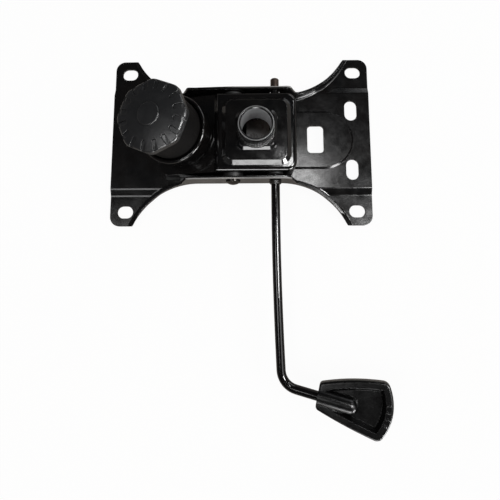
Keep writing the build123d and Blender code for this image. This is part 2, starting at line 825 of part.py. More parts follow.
def rod_line():
    """Where the rod starts to bow, where it starts to bend, and its heading there."""
    start = Vector(rod_x, -channel_half - rod_bow_start, rod_z)
    end = Vector(rod_x + rod_bow, rod_bow_end, rod_z)
    turn = 2 * math.atan2(rod_bow, start.Y - end.Y)
    return start, end, Vector(math.sin(turn), -math.cos(turn), 0)


def rod_corner():
    """Where the bowed length and the bent neck would meet, and how far the bend starts before it."""
    start, end, heading = rod_line()
    turn = heading.get_angle(neck_direction())
    tangent = rod_bend_r * math.tan(math.radians(turn / 2))
    return end + heading * tangent, tangent


def grip_plane():
    """Plane at the grip's mouth: X along the rod's neck, Z away from the seat."""
    corner, tangent = rod_corner()
    direction = neck_direction()
    origin = corner + direction * (tangent + neck_length)
    sideways = Vector(0, 0, 1).cross(direction).normalized()
    return Plane(origin=origin, x_dir=direction, z_dir=direction.cross(sideways))


def collar_y():
    return -channel_half - side_gap


def lever_rod():
    corner, tangent = rod_corner()
    direction = neck_direction()
    bow_start, bend_start, heading = rod_line()
    bend_end = corner + direction * tangent
    tip = bend_end + direction * (neck_length + rod_in_grip)
    start = Vector(rod_x, rod_far_end, rod_z)
    path = Wire([
        Line(start, bow_start),
        TangentArc(bow_start, bend_start, tangent=Vector(0, -1, 0)),
        TangentArc(bend_start, bend_end, tangent=heading),
        Line(bend_end, tip),
    ])
    profile = Plane(origin=start, x_dir=(1, 0, 0), z_dir=(0, -1, 0)) * Circle(rod_r)
    rod = sweep(profile, path=path)
    far_edge = rod.edges().filter_by(GeomType.CIRCLE).sort_by(Axis.Y)[-1]
    rod = chamfer(far_edge, 0.8)
    flat = Pos(rod_x, 0, rod_z + rod_r + 5 - rod_flat) * Box(4 * rod_r, 2 * rod_flat_half, 10)
    rod -= flat
    for y in rod_clip_places():
        ring = cylinder_y(rod_x, rod_z, rod_r + 1, y - 0.05, y + clip_t + 0.05)
        ring -= cylinder_y(rod_x, rod_z, rod_r - 0.9, y - 1, y + clip_t + 1)
        rod -= ring
    return rod - collar_pin_hole()


def rod_clip_places():
    """Where each retaining ring starts: one stops the pull, one stops the push."""
    bush_end = pan_inner_y - bush_inner_reach
    pulled = -bush_end + side_gap
    pushed = bush_end - side_gap - lever_push - clip_t
    return pulled, pushed


def rod_clips():
    return [e_clip(rod_x, rod_z, y, rod_r - 0.9, clip_r) for y in rod_clip_places()]


def collar_pin_hole():
    y = collar_y() - collar_t / 2
    return Pos(rod_x, y, rod_z) * Cylinder(collar_pin_r, 4 * collar_r)


def lock_collar():
    collar = cylinder_y(rod_x, rod_z, collar_r, collar_y() - collar_t, collar_y())
    collar = chamfer(collar.edges().filter_by(GeomType.CIRCLE), 0.5)
    collar -= cylinder_y(rod_x, rod_z, rod_r, collar_y() - collar_t - 1, collar_y() + 1)
    return collar - collar_pin_hole()


def collar_pin():
    y = collar_y() - collar_t / 2
    pin = Pos(rod_x, y, rod_z) * Cylinder(collar_pin_r, 2 * collar_r - 0.6)
    return pin - Pos(rod_x, y, rod_z) * Cylinder(collar_pin_r * 0.45, 2 * collar_r)


def release_arm():
    """Stamped bail: two ears keyed on the rod and a plate that reaches under the gas spring's button."""
    top = arm_z + arm_t
    plate = Pos((arm_tip_x + arm_heel_x) / 2, 0, arm_z + arm_t / 2)
    plate = plate * Box(arm_heel_x - arm_tip_x, 2 * arm_half_y, arm_t)
    tip = plate.edges().filter_by(Axis.Z).group_by(Axis.X)[0]
    plate = fillet(tip, 6)
    ear = make_face(Polyline(
        (arm_tip_x + 8, top),
        (arm_tip_x + 8, arm_z),
        (arm_heel_x, arm_z),
        (rod_x + arm_hub_r * 0.6, rod_z - arm_hub_r * 0.8),
        (rod_x, rod_z + arm_hub_r),
        (rod_x - arm_hub_r * 0.8, rod_z + arm_hub_r * 0.6),
        close=True,
    )) + Pos(rod_x, rod_z) * Circle(arm_hub_r)
    arm = plate
    for y in (-arm_half_y, arm_half_y - arm_t):
        plane = Plane(origin=(0, y + arm_t, 0), x_dir=(1, 0, 0), z_dir=(0, -1, 0))
        arm += extrude(plane * ear, arm_t)
    hole = cylinder_y(rod_x, rod_z, rod_r + arm_gap, -arm_half_y - 1, arm_half_y + 1)
    key = Pos(rod_x, 0, rod_z + rod_r + arm_gap + 5 - rod_flat) * Box(4 * rod_r, 4 * arm_half_y, 10)
    return arm - (hole - key)


def lever_spring():
    """Torsion spring round the rod, with one leg on the arm's ear and one under the pan's face."""
    steps = 4
    rises = [return_pitch / steps] * (return_turns * steps)
    edges, height = coil_path(return_mean_r, rises, steps)
    slope = return_pitch / (2 * math.pi * return_mean_r)
    heading = Vector(0, 1, slope).normalized()
    wire_start = Vector(return_mean_r, 0, 0)
    wire_end = Vector(return_mean_r, 0, height)
    leg_in = Line(wire_start - heading * return_leg_in, wire_start)
    leg_out = Line(wire_end, wire_end + heading * return_leg_out)
    path = Wire([leg_in] + edges + [leg_out])
    start = Plane(origin=path @ 0, z_dir=path % 0)
    coil = sweep(start * Circle(return_wire_r), path=path)
    print("return spring least gap", round(least_coil_gap(rises, steps, return_wire_r), 2))
    place = Plane(origin=(rod_x, arm_half_y + return_start_gap, rod_z), x_dir=(0, 0, 1), z_dir=(0, 1, 0))
    return place * coil


def grip_outline():
    """Fan with a round end and slightly bowed sides, wider on the side away from the plate."""
    entry_low = (0, -grip_entry_down)
    entry_high = (0, grip_entry_up)
    far_low = (grip_far, -grip_far_down)
    far_high = (grip_far, grip_far_up)
    fan = make_face(Curve() + [
        Line(entry_low, entry_high),
        ThreePointArc(entry_high, (grip_up_at, grip_up), far_high),
        Line(far_high, far_low),
        ThreePointArc(far_low, (grip_down_at, -grip_down), entry_low),
    ])
    outline = fan & Pos(grip_length - grip_end_r, grip_end_y) * Circle(grip_end_r)
    entry = [v for v in outline.vertices() if v.X < 1]
    outline = fillet(entry, grip_entry_r)
    far = [v for v in outline.vertices() if v.X > 0.7 * grip_length]
    return fillet(far, grip_corner_r)


def grip_ribs():
    """Short ribs across the crest at the grip's round end."""
    ribs = []
    for index in range(grip_rib_count):
        reach = grip_end_r - grip_crest_r - grip_rib_length / 2
        rib = Pos(reach, 0, grip_above) * Box(grip_rib_length, grip_rib_width, 2 * grip_rib_rise)
        turn = Rot(0, 0, grip_rib_first - index * grip_rib_pitch)
        ribs.append(Pos(grip_length - grip_end_r, grip_end_y, 0) * turn * rib)
    return ribs


def lever_grip():
    """Paddle with a crest all round, a tray in its lower face and a socket boss for the rod."""
    outline = grip_outline()
    body = Pos(0, 0, -grip_below) * extrude(outline, grip_below + grip_above)
    body = fillet(body.edges().group_by(Axis.Z)[0], grip_under_r)
    body = fillet(body.edges().group_by(Axis.Z)[-1], grip_crest_r)
    floor = offset(outline, -grip_rim - grip_tray * math.tan(math.radians(grip_tray_draft)))
    tray = extrude(floor, grip_tray + 1, taper=-grip_tray_draft)
    body -= Pos(0, 0, grip_above - grip_tray) * tray
    boss = extrude(Plane.YZ * Circle(grip_boss_r), grip_boss_length)
    boss += Pos(grip_boss_length, 0, 0) * Sphere(grip_boss_r)
    body += boss & Pos(grip_length / 2, 0, 0) * Box(grip_length, 4 * grip_boss_r, 4 * grip_boss_r)
    for rib in grip_ribs():
        body += rib
    return grip_plane() * (body - extrude(Plane.YZ * Circle(rod_r), rod_in_grip))


def front_rest_pads():
    height = pan_rim_front - pad_gap - floor_top
    pads = []
    for side in (-1, 1):
        pad = Box(front_pad_length, front_pad_width, height)
        pad = fillet(pad.edges().filter_by(Axis.Z), 2)
        wall_y = side * (pan_half_y - sheet_t / 2)
        pads.append(Pos(front_pad_x, wall_y, floor_top + height / 2) * pad)
    return pads


def rear_stop_pad():
    rim_x, rim_z = tilted(pan_rear_x - sheet_t / 2, pan_rear_wall_rim, tilt_max)
    base = floor_top + boss_height
    height = rim_z - sheet_t / 2 * math.sin(tilt_rad) - pad_gap - base
    pad = Box(rear_pad_length, rear_pad_width, height)
    pad = fillet(pad.edges().filter_by(Axis.Z), 2)
    return Pos(rim_x, 0, base + height / 2) * pad


def save(name, shape):
    """Write one node, from one solid or a list of separate solids."""
    if isinstance(shape, list):
        shape = Compound(children=list(shape))
    export_step(shape, f"parts/{name}.step")


def main():
    os.makedirs("parts", exist_ok=True)
    save("seat_plate", seat_plate())
    save("pivot_pin", pivot_pin())
    save("pivot_washer", pivot_washer())
    save("pivot_clip", pivot_clip())
    save("front_rest_pads", front_rest_pads())
    save("rear_stop_pad", rear_stop_pad())
    save("lower_housing", lower_housing())
    save("taper_tube", taper_tube())
    save("tube_weld", tube_weld())
    save("pivot_bushes", pivot_bushes())
    save("rod_bushes", rod_bushes())
    save("spring_cup", spring_cup())
    save("main_spring", main_spring())
    save("tension_bolt", tension_bolt())
    save("thrust_washer", thrust_washer())
    save("knob_nut", knob_nut())
    save("tension_knob", tension_knob())
    save("knob_cap", knob_cap())
    save("lever_rod", lever_rod())
    save("rod_clips", rod_clips())
    save("lock_collar", lock_collar())
    save("collar_pin", collar_pin())
    save("release_arm", release_arm())
    save("lever_spring", lever_spring())
    save("lever_grip", lever_grip())


main()
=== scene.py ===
import json
import math

import bmesh
import bpy
from mathutils import Matrix, Vector


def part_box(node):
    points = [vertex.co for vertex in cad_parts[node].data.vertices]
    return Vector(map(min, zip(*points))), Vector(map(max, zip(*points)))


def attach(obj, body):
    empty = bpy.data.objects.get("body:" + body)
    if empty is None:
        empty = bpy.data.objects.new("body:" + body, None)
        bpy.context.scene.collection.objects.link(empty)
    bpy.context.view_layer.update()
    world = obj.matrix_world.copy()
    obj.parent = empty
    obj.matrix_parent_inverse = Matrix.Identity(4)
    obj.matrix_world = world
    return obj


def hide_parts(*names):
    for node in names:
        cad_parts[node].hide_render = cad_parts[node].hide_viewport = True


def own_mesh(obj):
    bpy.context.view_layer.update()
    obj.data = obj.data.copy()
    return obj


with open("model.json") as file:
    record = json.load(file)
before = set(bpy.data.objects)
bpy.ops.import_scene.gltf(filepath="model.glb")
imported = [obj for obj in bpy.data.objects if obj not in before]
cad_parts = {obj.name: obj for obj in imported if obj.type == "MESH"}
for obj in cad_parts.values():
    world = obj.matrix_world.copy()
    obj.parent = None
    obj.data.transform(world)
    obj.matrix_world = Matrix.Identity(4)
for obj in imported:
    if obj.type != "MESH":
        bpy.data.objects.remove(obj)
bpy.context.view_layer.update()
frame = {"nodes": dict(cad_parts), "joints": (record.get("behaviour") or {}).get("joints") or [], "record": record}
nodes = frame["nodes"]
joints = {joint["name"]: joint for joint in frame["joints"]}
mounts = {mount["name"]: mount for mount in frame["record"]["mounts"]}

# Camera, fitted to the plate's slots and the socket
camera_place = Vector((0.0220, -0.1188, 0.4158))
camera_pitch = math.radians(7.6)
camera_yaw = math.radians(0.92)
camera_roll = math.radians(-0.3)
focal_px = 402.8
centre_px = (255.5, 200.9)
picture_px = 500
sensor_mm = 36.0
nearest_seen = 0.01

# Places and sizes of the object, in metres
socket_x, socket_y, _ = mounts["gas_lift_socket"]["pos_m"]
socket_bore_r = mounts["gas_lift_socket"]["dims"]["r_mm"] / 1000
tube_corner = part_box("taper_tube")[1]
socket_r = tube_corner.x - socket_x
socket_mouth = tube_corner.z
socket_foot = Vector((socket_x, socket_y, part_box("lower_housing")[1].z))
socket_wall_middle = (socket_r + socket_bore_r) / 2
bolt_anchor = Vector(joints["bolt_swing"]["pos_m"])
bolt_axis = -Vector(joints["knob_travel"]["axis"])
bolt_lean = math.atan2(-bolt_axis.x, bolt_axis.z)
flange_outside = 0.04615
rod_stub_from = 0.0485

# How far the two ends of the main spring move along the bolt
cup_rise = 0.01075
washer_drop = 0.0061

# The knob along the bolt, from the bolt's anchor, and its flutes
knob_head = 0.0715
knob_face = 0.0811
knob_crown_r = 0.139
knob_edge_from = 0.0298
knob_edge_r = 0.0025
flute_count = 16
flute_inner = 0.0224
flute_half = 0.0021
flute_floor = 0.0048

# The bed in each flute: the groove round it, how far it lies below the crown, and where it ends
bed_groove = 0.00018
bed_below_crown = 0.0009
bed_end = 0.0312
bed_round_steps = 6
bed_side_shares = (0.4, 0.75, 1.0)

# The weld round the socket's foot
weld_width = 0.0042
weld_height = 0.0016
weld_off = 0.0005
weld_pitch = 0.0026
weld_ripple = 0.30
weld_steps = 260
weld_across = 8

# Edges of the zones of worn paint and of painted highlight, and how far a sharp one fades
fade = 0.0002
mouth_lip = 0.0010
flange_edge_depth = 0.0008
flange_edge_from = 0.0330
far_highlight_x = (-0.016, 0.006)
near_side_y = (0.001, -0.001)

# The stage: the white floor, its duller look in reflections, and the dim room that only reflections see
floor_half = 3.0
floor_gap = 0.0004
floor_colour = (0.95, 0.93, 0.90)
floor_mirrored = (0.46, 0.42, 0.38)
floor_white_share = 0.94
sky_colour = (0.97, 0.985, 1)
sky_strength = 0.48
room_half = 12.0
room_top = 1.9
room_foot = -0.2
ceiling_level = 0.03
wall_level = 0.25

# Base colours that several finishes share
black = (0.0030, 0.0030, 0.0034)
brown = (0.0060, 0.0050, 0.0046)
bare = (0.10, 0.095, 0.09)

finish_of = {
    "seat_plate": "plate", "lower_housing": "pan", "spring_cup": "cup", "taper_tube": "tube",
    "tube_weld": "weld", "pivot_pin": "pin", "pivot_washer": "zinc", "tension_bolt": "zinc",
    "knob_nut": "zinc", "thrust_washer": "zinc", "pivot_clip": "spring", "rod_clips": "spring",
    "main_spring": "spring", "lever_spring": "spring", "collar_pin": "spring", "pivot_bushes": "bush",
    "rod_bushes": "bush", "tension_knob": "knob", "knob_cap": "cap", "lever_rod": "rod",
    "lock_collar": "collar", "release_arm": "arm", "lever_grip": "grip", "front_rest_pads": "pad",
    "rear_stop_pad": "pad",
}


class Nodes:
    """A short way to write a node tree."""

    def __init__(self, tree):
        self.tree = tree
        tree.nodes.clear()

    def add(self, kind, **values):
        """A new node. A value goes to the input of that name, or else to the node's own setting."""
        node = self.tree.nodes.new(kind)
        for key, value in values.items():
            if key in node.inputs:
                node.inputs[key].default_value = value
            else:
                setattr(node, key, value)
        return node

    def link(self, a, b):
        self.tree.links.new(a, b)


# Parts of node trees

def joined(n, operation, *values):
    """The values put together one after the other, by MULTIPLY or MAXIMUM."""
    result = values[0]
    for value in values[1:]:
        node = n.add("ShaderNodeMath", operation=operation)
        n.link(result, node.inputs[0])
        n.link(value, node.inputs[1])
        result = node.outputs[0]
    return result


def ramp(n, value, start, end, low=0.0, high=1.0):
    """low as far as start, high past end, and even steps between them."""
    step = n.add("ShaderNodeMapRange")
    step.inputs["From Min"].default_value = start
    step.inputs["From Max"].default_value = end
    step.inputs["To Min"].default_value = low
    step.inputs["To Max"].default_value = high
    n.link(value, step.inputs["Value"])
    return step.outputs[0]


def noise(n, coords, scale, detail, roughness=0.5):
    """A cloud of values round 0.5, with scale patches to a metre."""
    texture = n.add("ShaderNodeTexNoise", Scale=scale, Detail=detail, Roughness=roughness)
    n.link(coords, texture.inputs["Vector"])
    return texture.outputs[0]


def raised(n, height, normal, strength, distance):
    """The normal with a bump of that height on it."""
    node = n.add("ShaderNodeBump", Strength=strength, Distance=distance)
    n.link(height, node.inputs["Height"])
    n.link(normal, node.inputs["Normal"])
    return node.outputs[0]


def mixed(n, share, below, above):
    """The shader above laid over the one below, as much as share says."""
    mix = n.add("ShaderNodeMixShader")
    n.link(share, mix.inputs[0])
    n.link(below, mix.inputs[1])
    n.link(above, mix.inputs[2])
    return mix.outputs[0]


def place_in_piece(n):
    """A place on the piece, in metres, which moves with the piece."""
    return n.add("ShaderNodeTexCoord").outputs["Object"]


def split_place(n):
    """The x, y and z of a place on the piece."""
    split = n.add("ShaderNodeSeparateXYZ")
    n.link(place_in_piece(n), split.inputs[0])
    return split.outputs


def start_material(name, base):
    """An empty material, the short way to write its nodes, and its output."""
    material = bpy.data.materials.new(name)
    material.use_nodes = True
    material.diffuse_color = (*base, 1)
    n = Nodes(material.node_tree)
    out = n.add("ShaderNodeOutputMaterial")
    return material, n, out


# Finishes of the object

def rubbed(n, colour, bare_colour, share, rounded, coords):
    """The colour with its paint rubbed off in places along the piece's corners."""
    geometry = n.add("ShaderNodeNewGeometry")
    dot = n.add("ShaderNodeVectorMath", operation="DOT_PRODUCT")
    n.link(rounded, dot.inputs[0])
    n.link(geometry.outputs["Normal"], dot.inputs[1])
    corner = ramp(n, dot.outputs["Value"], start=0.99, end=0.80)
    chips = noise(n, coords, scale=170.0, detail=5.0)
    chips = ramp(n, chips, start=0.62 - 0.25 * share, end=0.72)
    rub = n.add("ShaderNodeMix", data_type="RGBA")
    rub.inputs["B"].default_value = (*bare_colour, 1)
    n.link(joined(n, "MULTIPLY", corner, chips), rub.inputs["Factor"])
    n.link(colour, rub.inputs["A"])
    return rub.outputs["Result"]


def layer(n, base, tint, rough, spread=0.06, metallic=0.0, specular=0.5, grain=700.0, bump=0.04,
          swell=40.0, swell_bump=0.0, edge=0.0004, worn=None, worn_share=0.5):
    """A procedural finish: two near colours, uneven roughness, fine grain, soft edges and worn corners.
    grain and swell are the scales of the fine and the wide bumps, and edge is the radius of a soft edge."""
    shader = n.add("ShaderNodeBsdfPrincipled")
    shader.inputs["Metallic"].default_value = metallic
    shader.inputs["Specular IOR Level"].default_value = specular
    coords = place_in_piece(n)

    cloud = noise(n, coords, scale=26.0, detail=5.0, roughness=0.6)
    mottled = n.add("ShaderNodeMix", data_type="RGBA")
    mottled.inputs["A"].default_value = (*base, 1)
    mottled.inputs["B"].default_value = (*tint, 1)
    n.link(ramp(n, cloud, start=0.35, end=0.68), mottled.inputs["Factor"])
    colour = mottled.outputs["Result"]

    patch = noise(n, coords, scale=95.0, detail=6.0, roughness=0.7)
    uneven = ramp(n, patch, start=0.3, end=0.7, low=max(0.02, rough - spread), high=rough + spread)
    n.link(uneven, shader.inputs["Roughness"])

    rounded = n.add("ShaderNodeBevel", samples=4)
    rounded.inputs["Radius"].default_value = edge
    fine = noise(n, coords, scale=grain, detail=3.0, roughness=0.55)
    normal = raised(n, fine, rounded.outputs[0], strength=bump, distance=0.0006)
    if swell_bump:
        wide = noise(n, coords, scale=swell, detail=2.0)
        normal = raised(n, wide, normal, strength=swell_bump, distance=0.004)
    n.link(normal, shader.inputs["Normal"])

    if worn:
        colour = rubbed(n, colour, worn, worn_share, rounded.outputs[0], coords)
    n.link(colour, shader.inputs["Base Color"])
    return shader.outputs[0]


def surface(name, base, tint, rough, **look):
    """A material of one finish all over."""
    material, n, out = start_material(name, base)
    n.link(layer(n, base, tint, rough, **look), out.inputs["Surface"])
    return material


def zoned(name, first, *others):
    """A material of several finishes. Each of the others comes with the zone where it lies on top."""
    material, n, out = start_material(name, first["base"])
    shader = layer(n, **first)
    for finish, zone in others:
        shader = mixed(n, zone(n), shader, layer(n, **finish))
    n.link(shader, out.inputs["Surface"])
    return material


# Zones: each gives 1 where its finish lies and 0 elsewhere

def socket_reach(n):
    """How far a place is from the socket's axis."""
    x, y, _ = split_place(n)
    flat = n.add("ShaderNodeCombineXYZ")
    n.link(x, flat.inputs[0])
    n.link(y, flat.inputs[1])
    away = n.add("ShaderNodeVectorMath", operation="DISTANCE")
    n.link(flat.outputs[0], away.inputs[0])
    away.inputs[1].default_value = (socket_x, socket_y, 0)
    return away.outputs["Value"]


def tube_mouth_wear_and_highlight_zone(n):
    """The outer part of the socket's turned mouth, with its paint rubbed off and a painted highlight line."""
    low = socket_mouth - mouth_lip / 2
    face = ramp(n, split_place(n)[2], low, low + fade)
    outer = ramp(n, socket_reach(n), socket_wall_middle + fade, socket_wall_middle + 2 * fade)
    return joined(n, "MULTIPLY", face, outer)


def tube_inner_zone(n):
    """The socket's bare inner wall."""
    high = socket_mouth - mouth_lip
    inside = ramp(n, socket_reach(n), socket_wall_middle, socket_wall_middle - fade)
    below = ramp(n, split_place(n)[2], high, high - 2 * fade)
    return joined(n, "MULTIPLY", inside, below)


def flange_edge_and_highlight_zone(n):
    """The top edges of the seat plate's flanges, painted lighter: thin paint on the cut edge and a painted
    highlight along it. The far one has it at its rear half only, where its highlight lies."""
    x, y, z = split_place(n)
    reach = n.add("ShaderNodeMath", operation="ABSOLUTE")
    n.link(y, reach.inputs[0])
    inner = flange_outside - flange_edge_depth
    edge = ramp(n, reach.outputs[0], inner - fade, inner)
    top = ramp(n, z, flange_edge_from - 2 * fade, flange_edge_from)
    # along: the whole near flange, and only the rear of the far flange, where its painted highlight lies
    along = joined(n, "MAXIMUM", ramp(n, x, *far_highlight_x), ramp(n, y, *near_side_y))
    return joined(n, "MULTIPLY", top, edge, along)


def knob_skirt_zone(n):
    """The knob's bell below its head, of a duller and browner plastic face."""
    along = n.add("ShaderNodeVectorMath", operation="DOT_PRODUCT")
    n.link(place_in_piece(n), along.inputs[0])
    along.inputs[1].default_value = bolt_axis
    head = bolt_anchor.dot(bolt_axis) + knob_head
    return ramp(n, along.outputs["Value"], head + 3 * fade, head - fade)


def rod_stub_zone(n):
    """The rod's stub end, where the paint is worn to brown metal."""
    return ramp(n, split_place(n)[1], rod_stub_from - 5 * fade, rod_stub_from)


def painted_finishes():
    """The stove enamel on the pressed and turned pieces, with bare metal where it is worn off, and painted
    highlights on the flange tops and the socket's mouth.
    """
    plate = {"base": black, "tint": brown, "rough": 0.19, "specular": 0.42, "bump": 0.03, "grain": 520,
             "swell": 55, "swell_bump": 0.03, "worn": bare, "worn_share": 0.4}
    # cut: a light grey on the flange tops, standing for thin paint on the cut edge and for a painted highlight
    cut = {"base": (0.40, 0.39, 0.37), "tint": (0.20, 0.19, 0.18), "rough": 0.42, "bump": 0.10, "grain": 500}
    rod = {"base": (0.0022, 0.002, 0.0021), "tint": (0.0038, 0.003, 0.0033), "rough": 0.10, "specular": 0.42,
           "bump": 0.03, "swell": 90, "swell_bump": 0.05}
    stub = {"base": (0.10, 0.075, 0.06), "tint": (0.06, 0.042, 0.034), "rough": 0.34, "metallic": 0.7,
            "bump": 0.12}
    tube = {"base": (0.006, 0.006, 0.0065), "tint": (0.012, 0.011, 0.011), "rough": 0.2, "bump": 0.05,
            "swell": 90, "swell_bump": 0.10}
    inner = {"base": (0.52, 0.52, 0.525), "tint": (0.42, 0.42, 0.425), "rough": 0.42, "metallic": 0.3,
             "bump": 0.10, "grain": 500}
    # mouth: bare rubbed metal, made light enough to paint the highlight line round the socket's mouth
    mouth = {"base": (0.20, 0.20, 0.20), "tint": (0.09, 0.09, 0.09), "rough": 0.32, "metallic": 0.3,
             "bump": 0.10, "grain": 500, "worn": (0.6, 0.6, 0.59), "worn_share": 0.9, "edge": 0.0005}
    return {
        "plate": zoned("plate_paint", plate, (cut, flange_edge_and_highlight_zone)),
        "rod": zoned("rod_paint", rod, (stub, rod_stub_zone)),
        "tube": zoned("tube_paint", tube, (inner, tube_inner_zone), (mouth, tube_mouth_wear_and_highlight_zone)),
        "pan": surface("pan_paint", black, (0.007, 0.006, 0.0055), 0.11, bump=0.03, grain=560,
                       swell=70, swell_bump=0.03, worn=bare, worn_share=0.35),
        "cup": surface("cup_paint", black, brown, 0.12, bump=0.04, swell=90, swell_bump=0.10,
                       worn=bare, worn_share=0.3),
        "arm": surface("arm_paint", (0.045, 0.036, 0.031), (0.065, 0.052, 0.044), 0.30, bump=0.10,
                       grain=380),
        "weld": surface("weld_paint", (0.004, 0.004, 0.004), (0.008, 0.007, 0.006), 0.10, spread=0.03,
                        bump=0.05, grain=420, edge=0.0002),
    }


def moulded_finishes():
    """The plastic of the knob, grip and bushes, and the pads' rubber."""
    head = {"base": (0.0070, 0.0074, 0.0084), "tint": (0.0098, 0.0100, 0.0110), "rough": 0.33,
            "specular": 0.8, "bump": 0.10, "grain": 1300, "edge": 0.0006, "worn": (0.05, 0.048, 0.047),
            "worn_share": 0.3}
    skirt = {"base": (0.0040, 0.0032, 0.0029), "tint": (0.0062, 0.0048, 0.0042), "rough": 0.62,
             "specular": 0.10, "bump": 0.14, "grain": 1300}
    return {
        "knob": zoned("knob_plastic", head, (skirt, knob_skirt_zone)),
        "cap": surface("cap_plastic", (0.0072, 0.0076, 0.0086), (0.0100, 0.0102, 0.0112), 0.33,
                       specular=0.8, bump=0.10, grain=1300, edge=0.0006),
        "grip": surface("grip_plastic", (0.0018, 0.0018, 0.0021), (0.0034, 0.0031, 0.0031), 0.24,
                        specular=0.36, bump=0.03, grain=900, swell=60, swell_bump=0.04, edge=0.0007),
        "bush": surface("bush_plastic", (0.006, 0.006, 0.006), (0.010, 0.010, 0.010), 0.5, bump=0.08),
        "pad": surface("pad_rubber", (0.008, 0.008, 0.008), (0.012, 0.012, 0.012), 0.72, specular=0.3,
                       bump=0.25, grain=900),
    }


def metal_finishes():
    """The metal of the pin, bolt, springs and collar."""
    return {
        "zinc": surface("zinc_steel", (0.56, 0.57, 0.58), (0.44, 0.45, 0.44), 0.26, metallic=1.0,
                        bump=0.05, worn=(0.3, 0.27, 0.22), worn_share=0.2),
        "pin": surface("pin_steel", (0.085, 0.08, 0.075), (0.05, 0.048, 0.045), 0.20, metallic=1.0,
                       bump=0.05),
        "spring": surface("spring_steel", (0.16, 0.16, 0.165), (0.10, 0.10, 0.105), 0.34, metallic=1.0,
                          bump=0.05),
        "collar": surface("collar_steel", (0.012, 0.011, 0.010), (0.022, 0.019, 0.017), 0.24, bump=0.05),
    }


# Pieces of the scene's own

def dress(obj, material):
    """Gives a piece from the frame one material in place of its own."""
    obj.data.materials.clear()
    obj.data.materials.append(material)


def new_piece(name, bm, material, body, smooth=True):
    """A visible piece that moves with a body of the frame."""
    mesh = bpy.data.meshes.new(name)
    bm.to_mesh(mesh)
    bm.free()
    for face in mesh.polygons:
        face.use_smooth = smooth
    obj = bpy.data.objects.new(name, mesh)
    bpy.context.collection.objects.link(obj)
    mesh.materials.append(material)
    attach(obj, body)
    return obj


def weld_ring(bm, place, along, up, phase):
    """The half-round points of the weld at one place. The phase counts the passes so far."""
    out = along.cross(up).normalized()
    swell = 1.0 + weld_ripple * (abs(math.sin(math.pi * phase)) - 0.5)
    ring = []
    for k in range(weld_across + 1):
        angle = math.pi * k / weld_across
        across = out * (math.cos(angle) * weld_width / 2 * swell)
        rise = up * (math.sin(angle) * weld_height * swell)
        ring.append(bm.verts.new(place + across + rise))
    return ring


def tube_bead(material):
    """The weld round the socket's foot, with the ripples of its passes, leaning half on the tube and half on
    the square."""
    bm = bmesh.new()
    spokes = []
    for i in range(weld_steps):
        angle = 2 * math.pi * i / weld_steps
        spokes.append(Vector((math.cos(angle), math.sin(angle), 0)))
    upward = Vector((0, 0, 1))
    path = [socket_foot + out * (socket_r + weld_off) + upward * weld_off for out in spokes]
    rings = []
    travelled = 0.0
    for i, place in enumerate(path):
        after = path[(i + 1) % weld_steps]
        along = (after - path[i - 1]).normalized()
        up = (spokes[i] + upward).normalized()
        rings.append(weld_ring(bm, place, along, up, travelled / weld_pitch))
        travelled += (after - place).length
    for i in range(weld_steps):
        a, b = rings[i], rings[(i + 1) % weld_steps]
        for k in range(weld_across):
            bm.faces.new((a[k], a[k + 1], b[k + 1], b[k]))
        bm.faces.new((a[-1], a[0], b[0], b[-1]))
    bmesh.ops.recalc_face_normals(bm, faces=bm.faces)
    made = new_piece("tube_bead", bm, material, "pan")
    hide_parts("tube_weld")


def bed_plan():
    """A bed's outline in the plane of the knob's face: round at its inner end and straight to the rim."""
    half = flute_half - bed_groove
    start = flute_inner + flute_half
    sides = [start + (bed_end - start) * share for share in bed_side_shares]
    plan = []
    for k in range(bed_round_steps + 1):
        angle = math.pi / 2 + math.pi * k / bed_round_steps
        plan.append((start + half * math.cos(angle), half * math.sin(angle)))
    plan += [(x, -half) for x in sides]
    plan += [(x, half) for x in reversed(sides)]
    return plan


def bed_top(x, y):
    """The bed's height at a place: it follows the crown and turns down at the knob's rounded edge."""
    crown = knob_face - (x * x + y * y) / (2 * knob_crown_r)
    past_edge = max(0.0, x - knob_edge_from)
    return crown - bed_below_crown - (knob_edge_r - math.sqrt(knob_edge_r ** 2 - past_edge ** 2))


def flute_beds(material):
    """The raised bed in each of the knob's flutes, which leaves a thin groove round it."""
    bm = bmesh.new()
    plan = bed_plan()
    foot = knob_face - flute_floor - bed_groove
    knob_frame = Matrix.Translation(bolt_anchor) @ Matrix.Rotation(-bolt_lean, 4, "Y")
    for index in range(flute_count):
        turn = knob_frame @ Matrix.Rotation(2 * math.pi * (index + 0.5) / flute_count, 4, "Z")
        tops = [bm.verts.new(turn @ Vector((x, y, bed_top(x, y)))) for x, y in plan]
        feet = [bm.verts.new(turn @ Vector((x, y, foot))) for x, y in plan]
        bm.faces.new(tops)
        bm.faces.new(list(reversed(feet)))
        for k in range(len(plan)):
            after = (k + 1) % len(plan)
            bm.faces.new((tops[k], feet[k], feet[after], tops[after]))
    bmesh.ops.recalc_face_normals(bm, faces=bm.faces)
    new_piece("flute_beds", bm, material, "knob", smooth=False)


def split_spring(material):
    """The main spring in two parts along the bolt, because both its ends move: the foot rises with the cup as
    the pan tilts, and the head comes down with the washer."""
    coil = nodes["main_spring"].data
    heights = [(v.co - bolt_anchor).dot(bolt_axis) for v in coil.vertices]
    foot, head = min(heights), max(heights)
    parting = foot + (head - foot) * cup_rise / (cup_rise + washer_drop)
    place = bolt_anchor + bolt_axis * parting
    parts = (("spring_foot", "tilt", cup_rise, parting - foot, False),
             ("spring_head", "knob_travel", washer_drop, head - parting, True))
    for name, joint, closing, length, upper in parts:
        bm = bmesh.new()
        bm.from_mesh(coil)
        whole = bm.verts[:] + bm.edges[:] + bm.faces[:]
        cut = bmesh.ops.bisect_plane(bm, geom=whole, plane_co=place, plane_no=bolt_axis,
                                     clear_outer=not upper, clear_inner=upper)
        rim = [e for e in cut["geom_cut"] if isinstance(e, bmesh.types.BMEdge)]
        bmesh.ops.edgenet_fill(bm, edges=rim)
        part = new_piece(name, bm, material, "bolt")
        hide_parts("main_spring")
        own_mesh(part)


# The stage

